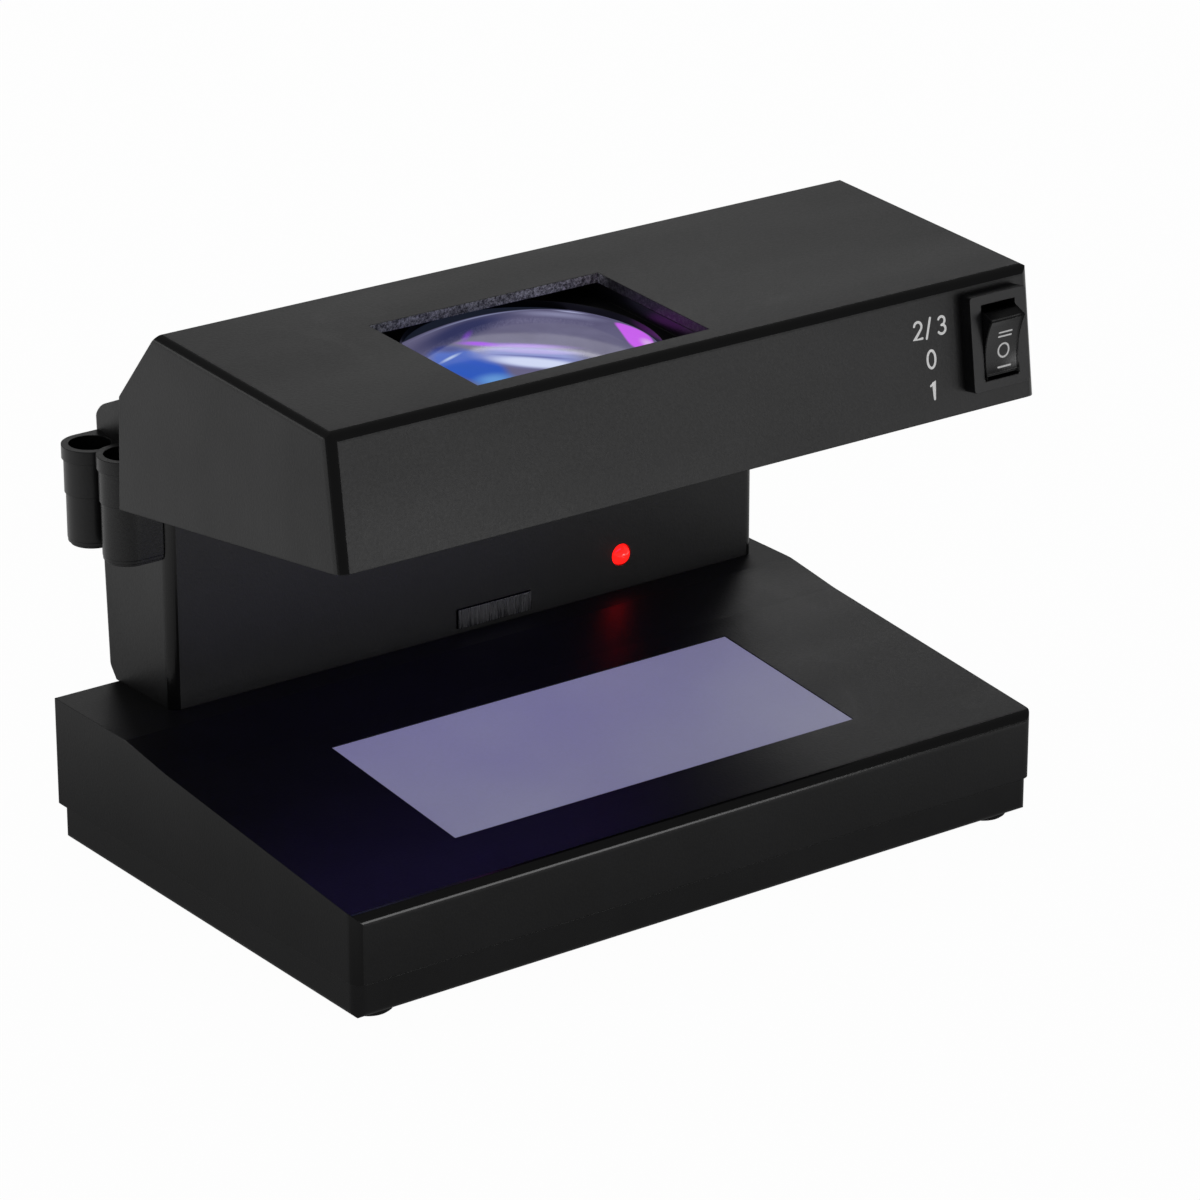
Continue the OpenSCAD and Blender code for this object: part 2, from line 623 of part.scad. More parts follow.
// ---- Magnifier, in the frame of the hood's top ----
module lens_frame() color(dark_abs) {
    on_top() difference() {
        block([-38, frame_front_v, lens_seat_w - 1], [38, 33, -wall - 0.05]);
        block([-window_w / 2, -window_d / 2, -5.2], [window_w / 2, window_d / 2 + 6, 0]);
        translate([0, lens_v, 0]) {
            rod_z(lens_r - 1, -12, 0);
            intersection() {
                rod_z(lens_r + gap, -12, lens_seat_w);
                block([-40, lens_flat_v - lens_v - gap, -12], [40, 40, 0]);
            }
        }
        for (p = lens_screw_uv) translate([p[0], p[1], 0]) {
            rod_z(screw_hole_r, -12, 0);
            rod_z(3.4, -5.35, 0);
        }
    }
}
module magnifier_lens() color([0.75, 0.72, 0.85, 0.5]) {
    on_top() translate([0, lens_v, lens_seat_w]) intersection() {
        union() {
            rod_z(lens_r, -lens_rim_t, 0);
            intersection() {
                rod_z(lens_dome_r, -12, 8);
                translate([0, 0, -lens_rise]) sphere(r = lens_curve_r, $fn = 160);
                translate([0, 0, lens_rise - lens_rim_t]) sphere(r = lens_curve_r, $fn = 160);
            }
        }
        block([-40, lens_flat_v - lens_v, -20], [40, 40, 20]);
    }
}
module lens_retainer() color(dark_abs) {
    on_top() difference() {
        union() {
            block([-38, frame_front_v, lens_seat_w - lens_rim_t - 1.6], [38, 33, lens_seat_w - lens_rim_t]);
            difference() {
                block([-38, frame_front_v, lens_seat_w - lens_rim_t], [38, 33, lens_seat_w - 1]);
                translate([0, lens_v, 0]) rod_z(lens_r + gap, -14, 0);
            }
        }
        translate([0, lens_v, 0]) rod_z(lens_r - 1, -14, 0);
        for (p = lens_screw_uv) translate([p[0], p[1], 0]) rod_z(screw_hole_r, -14, 0);
    }
}
module lens_screws() color(steel) {
    on_top() for (p = lens_screw_uv)
        translate([p[0], p[1], lens_seat_w - lens_rim_t - 1.6]) mirror([0, 0, 1]) screw(8.6, 2.7);
}

// ---- Ultraviolet lamp, in the frame of the hood's underside ----
module at_uv_lamp() {
    on_under() translate([uv_mid_x, uv_v, uv_w]) children();
}
module uv_tube() color([0.3, 0.2, 0.75, 0.9]) at_uv_lamp() tube_glass();
module uv_tube_caps() color(steel) at_uv_lamp() tube_caps();
module uv_lamp_holders() color(white_part) at_uv_lamp() lamp_holders(uv_w - plate_w[1]);
module uv_reflector() color([0.8, 0.81, 0.83]) {
    let (t = 0.6, foot = plate_w[1] + 0.1, top = uv_w + 9.4) on_under()
        side_prism([[uv_v - 9.6, foot], [uv_v - 9.6 + t, foot], [uv_v - 8 + t, top],
            [uv_v + 8 - t, top], [uv_v + 9.6 - t, foot], [uv_v + 9.6, foot],
            [uv_v + 8, top + t], [uv_v - 8, top + t]], uv_mid_x - 62, uv_mid_x + 62);
}

// ---- Mode switch, in the frame of the hood's front ----
module switch_housing() color(dark_abs) {
    on_front() difference() {
        union() {
            plan_prism(rounded(box_outline([-bezel_w / 2, -bezel_h / 2], [bezel_w / 2, bezel_h / 2]),
                [0.8, 0.8, 0.8, 0.8], 3), 0, bezel_t);
            block([-switch_body_w / 2, -switch_body_h / 2, -14], [switch_body_w / 2, switch_body_h / 2, 0]);
        }
        block([-well_w / 2, -well_h / 2, -12.4], [well_w / 2, well_h / 2, 8]);
        translate([0, 0, pivot_w]) rod_x(trunnion_r + 0.05, -6.2, 6.2);
        for (y = [-6, 0, 6]) block([-2.5, y - 0.5, -16], [2.5, y + 0.5, -12]);
    }
}
// Side outline of the rocker about its pivot, in its middle position
rocker_side = [[3, -5.4], [5.4, -1.6], [7.4, 3.0], [6.4, 5.9],
    for (i = [1:7]) let (y = 6.4 - 12.8 * i / 8) [y, 4.7 + 1.2 * pow(y / 6.4, 2)],
    [-6.4, 5.9], [-7.4, 3.0], [-5.4, -1.6], [-3, -5.4]];
module on_rocker() {
    on_front() translate([0, 0, pivot_w]) rotate([rocker_step, 0, 0]) children();
}
module rocker() color(dark_abs) {
    on_rocker() difference() {
        union() {
            side_prism(rocker_side, -4.5, 4.5);
            rod_x(trunnion_r, -6, 6);
        }
        rod_z(1.3, -8, -1.8);
    }
}
module rocker_plunger() color(steel) {
    on_rocker() {
        rod_z(1.2, -6.2, -2);
        translate([0, 0, -6.2]) sphere(r = 1.2);
    }
}
module switch_contacts() color([0.85, 0.68, 0.3]) {
    on_front() {
        difference() {
            block([-2.4, -7.4, -9.4], [2.4, 7.4, -8.8]);
            translate([0, 0, pivot_w - 6.2]) rod_x(1.9, -5, 5);
        }
        for (y = [-6, 0, 6]) block([-2.4, y - 0.4, -20.5], [2.4, y + 0.4, -9.4]);
    }
}

// ---- Leads ----
module hood_leads() color([0.75, 0.75, 0.72]) {
    lead(switch_lead, switch_lead_r);
    lead(uv_lead, uv_lead_r);
}
module base_leads() color([0.75, 0.75, 0.72]) lead(deck_lead, deck_lead_r);

base_upper_shell();
base_tray();
rubber_feet();
base_screws();
cord_gland();
watermark_window();
watermark_tube();
watermark_tube_caps();
watermark_lamp_holders();
watermark_reflector();
column_shell();
column_screws();
column_rear_cover();
rear_cover_screws();
ballast_board();
ballast_chokes();
board_capacitors();
board_transistors();
board_screws();
buzzer();
magnetic_sensor_head();
magnetic_indicator();
pen_sleeves();
pen_cups();
hood_shell();
hood_base_plate();
plate_screws();
hood_screws();
lens_frame();
magnifier_lens();
lens_retainer();
lens_screws();
uv_tube();
uv_tube_caps();
uv_lamp_holders();
uv_reflector();
switch_housing();
rocker();
rocker_plunger();
switch_contacts();
hood_leads();
base_leads();
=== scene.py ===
"""Looks of a desktop counterfeit bill detector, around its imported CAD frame.
Metres, +X right, -Y front, +Z up."""
import json
import math

import bmesh
import bpy
from mathutils import Matrix, Vector


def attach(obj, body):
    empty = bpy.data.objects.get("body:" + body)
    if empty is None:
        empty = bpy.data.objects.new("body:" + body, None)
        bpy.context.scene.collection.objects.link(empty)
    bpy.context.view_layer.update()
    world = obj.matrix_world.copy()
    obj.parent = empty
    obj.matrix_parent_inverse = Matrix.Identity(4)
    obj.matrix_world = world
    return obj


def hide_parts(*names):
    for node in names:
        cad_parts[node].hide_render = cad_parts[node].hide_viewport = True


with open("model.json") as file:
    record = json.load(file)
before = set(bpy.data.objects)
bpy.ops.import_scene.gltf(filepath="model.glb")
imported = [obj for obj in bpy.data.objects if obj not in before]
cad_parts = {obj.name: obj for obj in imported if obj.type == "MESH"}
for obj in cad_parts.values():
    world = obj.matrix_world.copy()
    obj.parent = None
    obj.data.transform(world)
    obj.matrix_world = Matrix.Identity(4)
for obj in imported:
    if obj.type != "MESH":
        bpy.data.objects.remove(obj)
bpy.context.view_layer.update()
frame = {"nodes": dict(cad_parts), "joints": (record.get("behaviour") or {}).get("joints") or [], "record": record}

MM = 0.001
NODES = frame["nodes"]
SCENE = bpy.context.scene


# ---- Camera and light ----
CAMERA_AZIMUTH = math.radians(-36.51)
CAMERA_ELEVATION = math.radians(21.74)
CAMERA_DISTANCE = 1183.5 * MM
CAMERA_LENS = 162.84
LOOK_AT = Vector((14.88, -1.6, 50.03)) * MM

SURROUND = 0.13        # radiance of everything around the object, as it lights the object
SOFTBOXES = {          # name: place in mm, width and height in mm, radiance
    "back_softbox": ((1000, 1420, 1150), 1100, 560, 0.62),   # the hood's top
    "back_strip": ((1120, 1207, 1198), 900, 90, 2.6),        # a thin line along the hood's front edge
    "left_softbox": ((-1000, 1180, 250), 420, 300, 0.8),     # the left edges
    "front_softbox": ((400, -1060, 10), 560, 260, 3.4),      # the hood's front
}


def make_camera():
    data = bpy.data.cameras.new("camera")
    data.lens = CAMERA_LENS
    data.sensor_width = 36
    data.clip_start = 0.01
    camera = bpy.data.objects.new("camera", data)
    SCENE.collection.objects.link(camera)
    back = Vector((math.sin(CAMERA_AZIMUTH) * math.cos(CAMERA_ELEVATION),
                   -math.cos(CAMERA_AZIMUTH) * math.cos(CAMERA_ELEVATION),
                   math.sin(CAMERA_ELEVATION)))
    camera.location = LOOK_AT + back * CAMERA_DISTANCE
    camera.rotation_euler = (-back).to_track_quat("-Z", "Y").to_euler()
    SCENE.camera = camera


def make_softbox(name, place, width, height, radiance):
    """An area light at place, in mm, that faces the object, with the radiance of its surface."""
    data = bpy.data.lights.new(name, "AREA")
    data.shape = "RECTANGLE"
    data.size = width * MM
    data.size_y = height * MM
    data.energy = radiance * math.pi * data.size * data.size_y
    light = bpy.data.objects.new(name, data)
    SCENE.collection.objects.link(light)
    light.location = Vector(place) * MM
    light.rotation_euler = (LOOK_AT - light.location).to_track_quat("-Z", "Y").to_euler()


def make_world():
    """A backdrop that the camera sees white, and that lights the object only dimly."""
    world = bpy.data.worlds.new("studio")
    SCENE.world = world
    world.use_nodes = True
    tree = world.node_tree
    tree.nodes.clear()
    path = tree.nodes.new("ShaderNodeLightPath")
    seen = tree.nodes.new("ShaderNodeBackground")
    lit = tree.nodes.new("ShaderNodeBackground")
    mix = tree.nodes.new("ShaderNodeMixShader")
    out = tree.nodes.new("ShaderNodeOutputWorld")
    seen.inputs["Color"].default_value = (1, 1, 1, 1)
    lit.inputs["Color"].default_value = (1, 1, 1, 1)
    lit.inputs["Strength"].default_value = SURROUND
    tree.links.new(path.outputs["Is Camera Ray"], mix.inputs[0])
    tree.links.new(lit.outputs[0], mix.inputs[1])
    tree.links.new(seen.outputs[0], mix.inputs[2])
    tree.links.new(mix.outputs[0], out.inputs[0])


# ---- Node graphs ----
class Graph:
    """A material's node tree, with one short call for each node that the finishes need."""

    def __init__(self, name):
        self.material = bpy.data.materials.new(name)
        self.material.use_nodes = True
        self.tree = self.material.node_tree
        self.tree.nodes.clear()
        self.out = self.tree.nodes.new("ShaderNodeOutputMaterial")
        self.place = self.tree.nodes.new("ShaderNodeTexCoord").outputs["Object"]

    def put(self, value, socket):
        if isinstance(value, bpy.types.NodeSocket):
            self.tree.links.new(value, socket)
        elif isinstance(value, tuple) and len(value) == 3 and socket.type == "RGBA":
            socket.default_value = (*value, 1)
        else:
            socket.default_value = value

    def node(self, kind, inputs=(), **settings):
        node = self.tree.nodes.new(kind)
        for key, value in settings.items():
            setattr(node, key, value)
        for key, value in dict(inputs).items():
            self.put(value, node.inputs[key])
        return node

    def maths(self, operation, a, b=0.0):
        return self.node("ShaderNodeMath", {0: a, 1: b}, operation=operation).outputs[0]

    def vector(self, operation, a, b=(0.0, 0.0, 0.0)):
        return self.node("ShaderNodeVectorMath", {0: a, 1: b}, operation=operation)

    def mix(self, share, a, b):
        node = self.node("ShaderNodeMix", data_type="RGBA")
        for value, socket in ((share, node.inputs[0]), (a, node.inputs[6]), (b, node.inputs[7])):
            self.put(value, socket)
        return node.outputs[2]

    def noise(self, scale, detail=2.0, rough=0.5, stretch=(1, 1, 1), distortion=0.0):
        """Noise from 0 to 1, with scale in lumps per metre."""
        where = self.node("ShaderNodeMapping", {"Vector": self.place, "Scale": stretch}).outputs[0]
        return self.node("ShaderNodeTexNoise", {"Vector": where, "Scale": scale, "Detail": detail,
                                                "Roughness": rough, "Distortion": distortion}).outputs["Fac"]

    def spread(self, value, low, high, to_low=0.0, to_high=1.0, smooth=False):
        """value from low to high, mapped to the range from to_low to to_high."""
        node = self.node("ShaderNodeMapRange", {"Value": value, "From Min": low, "From Max": high,
                                                "To Min": to_low, "To Max": to_high})
        node.interpolation_type = "SMOOTHSTEP" if smooth else "LINEAR"
        return node.outputs[0]

    def bump(self, height, depth, strength=1.0, normal=None):
        """A normal from a height of 0 to 1 that stands for depth metres."""
        node = self.node("ShaderNodeBump", {"Height": height, "Distance": depth, "Strength": strength})
        if normal is not None:
            self.put(normal, node.inputs["Normal"])
        return node.outputs[0]

    def surface(self, **inputs):
        shader = self.node("ShaderNodeBsdfPrincipled")
        for key, value in inputs.items():
            self.put(value, shader.inputs[key.replace("_", " ")])
        return self.finish(shader.outputs[0])

    def finish(self, shader):
        self.put(shader, self.out.inputs[0])
        return self.material


def rounded_edges(graph, radius):
    """The normal of a surface whose sharp edges are rounded by radius metres."""
    return graph.node("ShaderNodeBevel", {"Radius": radius}, samples=6).outputs[0]


# ---- Floor ----
FLOOR_HALF, FLOOR_FRONT, FLOOR_BACK = 2.0, -0.29, 3.7   # in the camera's heading
DIM_WITHIN, PLAIN_BEYOND = 0.10, 0.30                   # distances from the origin
DIM_RADIANCE, PLAIN_RADIANCE = 0.16, 0.64
SEEN_WHITE = 1.03


def make_floor():
    """A table, square to the camera, whose front edge lies a little before the object. The camera sees it white.
    What it throws back at the object is dimmer, and dimmest close to the object, as a painted shadow."""
    g = Graph("floor")
    away = g.vector("LENGTH", g.place).outputs["Value"]
    # Painted shadow: the light thrown back fades to its dimmest close to the object.
    thrown = g.spread(away, DIM_WITHIN, PLAIN_BEYOND, DIM_RADIANCE, PLAIN_RADIANCE, smooth=True)
    lit = g.node("ShaderNodeEmission", {"Color": (1.0, 1.0, 1.0), "Strength": thrown})
    white = g.node("ShaderNodeEmission", {"Color": (1.0, 1.0, 1.0), "Strength": SEEN_WHITE})
    shaded = g.node("ShaderNodeBsdfDiffuse", {"Color": (0.95, 0.95, 0.95)})
    seen = g.node("ShaderNodeMixShader", {0: 0.95, 1: shaded.outputs[0], 2: white.outputs[0]})
    camera_ray = g.node("ShaderNodeLightPath").outputs["Is Camera Ray"]
    both = g.node("ShaderNodeMixShader", {0: camera_ray, 1: lit.outputs[0], 2: seen.outputs[0]})
    corners = [(-FLOOR_HALF, FLOOR_FRONT, 0), (FLOOR_HALF, FLOOR_FRONT, 0),
               (FLOOR_HALF, FLOOR_BACK, 0), (-FLOOR_HALF, FLOOR_BACK, 0)]
    mesh = bpy.data.meshes.new("floor")
    mesh.from_pydata(corners, [], [(0, 1, 2, 3)])
    mesh.transform(Matrix.Rotation(CAMERA_AZIMUTH, 4, "Z"))
    mesh.materials.append(g.finish(both.outputs[0]))
    floor = bpy.data.objects.new("floor", mesh)
    SCENE.collection.objects.link(floor)


# ---- Finishes, one function each ----
POLISHED = 0.16   # roughness of a rounded edge


def flat_share(graph, faces):
    """1 on the flat faces whose normals are given, and 0 on the rounded edges between them."""
    normal = graph.node("ShaderNodeTexCoord").outputs["Normal"]
    best = 0.0
    for face in faces:
        facing = graph.vector("DOT_PRODUCT", normal, tuple(Vector(face).normalized())).outputs["Value"]
        best = graph.maths("MAXIMUM", best, facing)
    return graph.spread(best, 0.975, 0.998, smooth=True)


def moulded_plastic(name, dark, light, rough, grain, grain_depth, edge=0.25 * MM, faces=(), painted_light_wall=None):
    """Spark-textured moulded plastic: fine grain, cloudy gloss, faint flow marks and rubbed spots.
    The rounded edges between the given flat faces are polished, and painted darker as painted shade. The last
    argument gives the share of wall painted pale and speckled, as painted light."""
    g = Graph(name)
    clouds = g.noise(45, 4, 0.6)
    flow = g.noise(16, 3, 0.55, stretch=(0.35, 1.4, 1))
    specks = g.noise(2600, 2, 0.6)
    fine = g.noise(grain, 3, 0.65)
    tone = g.mix(g.spread(clouds, 0.3, 0.75), dark, light)
    tone = g.mix(g.spread(specks, 0.66, 0.78, 0, 0.35), tone, tuple(min(1, 2.2 * c) for c in light))
    rub = g.spread(g.noise(28, 5, 0.7, distortion=0.6), 0.58, 0.74)
    gloss = g.maths("ADD", g.spread(flow, 0.3, 0.7, rough - 0.05, rough + 0.05),
                    g.spread(fine, 0.3, 0.7, -0.03, 0.03))
    gloss = g.maths("SUBTRACT", gloss, g.maths("MULTIPLY", rub, 0.05))
    depth = 1.0
    if faces:
        flat = flat_share(g, faces)
        gloss = g.spread(flat, 0, 1, POLISHED, gloss)
        # Painted shade: the rounded edges take half the dark tone, for the near-black bands they show.
        tone = g.mix(flat, tuple(0.5 * c for c in dark), tone)
        depth = g.spread(flat, 0, 1, 0.25, 1.0)
    if painted_light_wall is not None:
        # Painted light: the cut walls are painted pale and speckled, and made rougher.
        painted_light_share = painted_light_wall(g)
        grit = g.spread(g.noise(1500, 4, 0.8), 0.42, 0.62)
        tone = g.mix(painted_light_share, tone, g.mix(grit, (0.10, 0.10, 0.10), (0.90, 0.90, 0.90)))
        gloss = g.maths("MAXIMUM", gloss, g.maths("MULTIPLY", painted_light_share, 0.7))
    normal = g.bump(fine, grain_depth, depth, rounded_edges(g, edge))
    return g.surface(Base_Color=tone, Roughness=gloss, Normal=normal)


def rubber(name):
    g = Graph(name)
    dust = g.spread(g.noise(400, 4, 0.7), 0.5, 0.75)
    tone = g.mix(dust, (0.012, 0.012, 0.013), (0.045, 0.044, 0.042))
    return g.surface(Base_Color=tone, Roughness=g.spread(dust, 0, 1, 0.72, 0.9),
                     Normal=g.bump(g.noise(1800, 3), 0.05 * MM, 1.0, rounded_edges(g, 0.3 * MM)))


def plated_steel(name):
    g = Graph(name)
    swirl = g.noise(900, 4, 0.6, stretch=(1, 1, 4))
    tone = g.mix(g.spread(swirl, 0.35, 0.7), (0.52, 0.53, 0.56), (0.70, 0.71, 0.73))
    return g.surface(Base_Color=tone, Metallic=1.0, Roughness=g.spread(swirl, 0.3, 0.7, 0.22, 0.38),
                     Normal=g.bump(swirl, 0.01 * MM, 1.0, rounded_edges(g, 0.15 * MM)))


def rolled_aluminium(name, bright):
    g = Graph(name)
    lines = g.noise(2400, 3, 0.6, stretch=(0.03, 1, 1))
    tone = g.mix(lines, tuple(0.85 * c for c in bright), bright)
    return g.surface(Base_Color=tone, Metallic=1.0, Roughness=g.spread(lines, 0.3, 0.7, 0.18, 0.32),
                     Normal=g.bump(lines, 0.008 * MM))


def lapped_metal(name):
    g = Graph(name)
    lines = g.noise(3000, 2, 0.5, stretch=(1, 1, 0.05))
    return g.surface(Base_Color=g.mix(lines, (0.13, 0.13, 0.14), (0.22, 0.22, 0.23)), Metallic=1.0,
                     Roughness=g.spread(lines, 0.3, 0.7, 0.2, 0.36),
                     Normal=g.bump(lines, 0.01 * MM, 1.0, rounded_edges(g, 0.2 * MM)))


def white_moulding(name):
    g = Graph(name)
    tone = g.mix(g.noise(60, 3), (0.72, 0.72, 0.69), (0.84, 0.84, 0.82))
    return g.surface(Base_Color=tone, Roughness=g.spread(g.noise(300, 3), 0.3, 0.7, 0.3, 0.42),
                     Normal=g.bump(g.noise(1500, 2), 0.01 * MM, 1.0, rounded_edges(g, 0.2 * MM)))


def frosted_acrylic(name):
    """White acrylic, frosted and a little uneven, with a faint violet painted glow for the light of the lamp above
    it.
    """
    g = Graph(name)
    frost = g.noise(1400, 3, 0.6)
    clouds = g.noise(22, 3)
    tone = g.mix(clouds, (0.70, 0.72, 0.74), (0.80, 0.81, 0.82))
    # Painted light: the lamp's violet light on the panel, given as the panel's own glow.
    glow = g.mix(g.spread(clouds, 0.3, 0.7), (0.50, 0.47, 0.92), (0.60, 0.60, 0.96))
    return g.surface(Base_Color=tone, Roughness=g.spread(frost, 0.3, 0.7, 0.42, 0.6), Subsurface_Weight=0.3,
                     Subsurface_Radius=(0.004, 0.004, 0.004), Emission_Color=glow,
                     Emission_Strength=g.spread(frost, 0.2, 0.8, 0.16, 0.24), Normal=g.bump(frost, 0.01 * MM))


def phosphor_tube(name, tint, glow, glow_strength):
    g = Graph(name)
    powder = g.noise(1500, 4, 0.7)
    return g.surface(Base_Color=g.mix(powder, tuple(0.85 * c for c in tint), tint),
                     Roughness=g.spread(powder, 0.3, 0.7, 0.12, 0.22), Emission_Color=glow,
                     Emission_Strength=g.spread(powder, 0.2, 0.8, 0.94 * glow_strength, 1.06 * glow_strength),
                     Coat_Weight=0.6)


def circuit_board(name):
    g = Graph(name)
    weave = g.node("ShaderNodeTexBrick", {"Vector": g.place, "Scale": 900.0, "Color1": (0.0, 0.0, 0.0, 1),
                                          "Color2": (1.0, 1.0, 1.0, 1)}).outputs["Fac"]
    tracks = g.spread(g.noise(180, 1, 0.3, stretch=(1, 1, 0.25)), 0.5, 0.53)
    tone = g.mix(tracks, (0.012, 0.11, 0.045), (0.03, 0.23, 0.09))
    return g.surface(Base_Color=tone, Roughness=0.32, Normal=g.bump(g.maths("ADD", tracks, weave), 0.02 * MM))


def copper_winding(name):
    g = Graph(name)
    rings = g.node("ShaderNodeTexWave", {"Vector": g.place, "Scale": 420.0, "Distortion": 0.6},
                   bands_direction="Y").outputs["Fac"]
    return g.surface(Base_Color=g.mix(rings, (0.30, 0.12, 0.04), (0.80, 0.42, 0.16)), Metallic=0.8,
                     Roughness=0.34, Normal=g.bump(rings, 0.08 * MM))


def shrink_sleeve(name):
    g = Graph(name)
    ripple = g.noise(500, 3, 0.6, stretch=(1, 0.3, 1))
    return g.surface(Base_Color=g.mix(ripple, (0.02, 0.025, 0.07), (0.05, 0.06, 0.15)), Roughness=0.28,
                     Normal=g.bump(ripple, 0.05 * MM))


def epoxy(name):
    g = Graph(name)
    grit = g.noise(2600, 3, 0.7)
    return g.surface(Base_Color=g.mix(grit, (0.008, 0.008, 0.009), (0.028, 0.028, 0.03)),
                     Roughness=g.spread(grit, 0.3, 0.7, 0.5, 0.7), Normal=g.bump(grit, 0.02 * MM))


def lit_indicator(name):
    g = Graph(name)
    core = g.spread(g.noise(700, 2), 0.3, 0.7, 0.8, 1.1)
    return g.surface(Base_Color=(0.75, 0.01, 0.01), Roughness=0.15, Emission_Color=(1.0, 0.008, 0.006),
                     Emission_Strength=g.maths("MULTIPLY", core, 2.4), Coat_Weight=1.0)


def insulation(name):
    g = Graph(name)
    scuff = g.noise(350, 4, 0.6)
    return g.surface(Base_Color=g.mix(scuff, (0.42, 0.42, 0.41), (0.62, 0.62, 0.60)),
                     Roughness=g.spread(scuff, 0.3, 0.7, 0.45, 0.62), Normal=g.bump(scuff, 0.03 * MM))


def stamped_brass(name):
    g = Graph(name)
    lines = g.noise(1800, 3, 0.6, stretch=(1, 0.1, 1))
    return g.surface(Base_Color=g.mix(lines, (0.60, 0.42, 0.14), (0.83, 0.64, 0.30)), Metallic=1.0,
                     Roughness=g.spread(lines, 0.3, 0.7, 0.25, 0.4), Normal=g.bump(lines, 0.01 * MM))


def printed_ink(name, tone, glow):
    """Pale ink, given a little light of its own so that it reads as clearly as in the photograph."""
    g = Graph(name)
    grain = g.noise(3200, 3, 0.7)
    cover = g.mix(g.spread(grain, 0.35, 0.75), tone, tuple(0.7 * c for c in tone))
    return g.surface(Base_Color=cover, Roughness=g.spread(grain, 0.3, 0.7, 0.42, 0.6), Emission_Color=cover,
                     Emission_Strength=glow, Normal=g.bump(grain, 0.01 * MM))


# ---- Places on the object, which repeat the values of the part's own source ----
TOP_TILT = math.radians(2.96)      # slope of the hood's top
FRONT_TILT = math.radians(82.49)   # slope of the hood's front
UNDER_TILT = math.radians(-7.66)   # slope of its lower edges
DECK_TILT = math.radians(3.72)     # slope of the deck's front part


def sloped(angle):
    """The directions up a slope about X and out of it."""
    return Vector((0, math.cos(angle), math.sin(angle))), Vector((0, -math.sin(angle), math.cos(angle)))


TOP_BACK, TOP_OUT = sloped(TOP_TILT)
FRONT_UP, FRONT_OUT = sloped(FRONT_TILT)
WINDOW = Vector((-20.9, -29.0, 127.55)) * MM   # centre of the window in the hood's top
WINDOW_HALF = (29.2, 19.3)                     # half its width and depth, in mm
ROCKER_PIVOT = Vector(next(j["pos_m"] for j in frame["joints"] if j["name"] == "mode_rocker_tilt"))
FRONT_CENTRE = ROCKER_PIVOT + FRONT_OUT * MM

# The outward normals of the flat faces of each casing
SIDES = [(-1, 0, 0), (1, 0, 0)]
HOOD_FACES = SIDES + [TOP_OUT, FRONT_OUT, sloped(UNDER_TILT)[1] * -1, (0, 1, 0.051), (0, 0.758, 0.652),
                      (0, 1, 0), (0, -1, 0)]
BASE_FACES = SIDES + [(0, 0, 1), (0, 0, -1), sloped(DECK_TILT)[1], (0, 1, 0), (0, -1, 0), (0, -0.148, 0.989)]
COLUMN_FACES = SIDES + [(0, -1, 0), (0, 1, -0.04), (0, 0.402, 0.916), (0, 0, 1), (0, 0, -1), (0, 0.78, -0.62)]


def in_window(g):
    """The two coordinates of a point in the frame of the hood's top, in mm from the window's centre."""
    offset = g.vector("SUBTRACT", g.place, tuple(WINDOW)).outputs[0]
    u = g.vector("DOT_PRODUCT", offset, (1 / MM, 0, 0)).outputs["Value"]
    v = g.vector("DOT_PRODUCT", offset, tuple(TOP_BACK / MM)).outputs["Value"]
    return u, v


def window_wall_painted_light(g):
    """1 on the back cut wall of the window in the hood's top and a little on its other cut walls: the share of
    pale, speckled painted light laid on them.
    """
    u, v = in_window(g)
    offset = g.vector("SUBTRACT", g.place, tuple(WINDOW)).outputs[0]
    height = g.vector("DOT_PRODUCT", offset, tuple(TOP_OUT / MM)).outputs["Value"]
    inside = g.maths("MULTIPLY", g.maths("LESS_THAN", g.maths("ABSOLUTE", u), WINDOW_HALF[0] + 0.02),
                     g.maths("LESS_THAN", g.maths("ABSOLUTE", v), WINDOW_HALF[1] + 0.02))
    # The painted light is full on the back wall and faint on the other walls.
    back = g.spread(v, 15, 19, 0.12, 1.0)
    return g.maths("MULTIPLY", g.maths("MULTIPLY", inside, back), g.maths("LESS_THAN", height, -0.05))


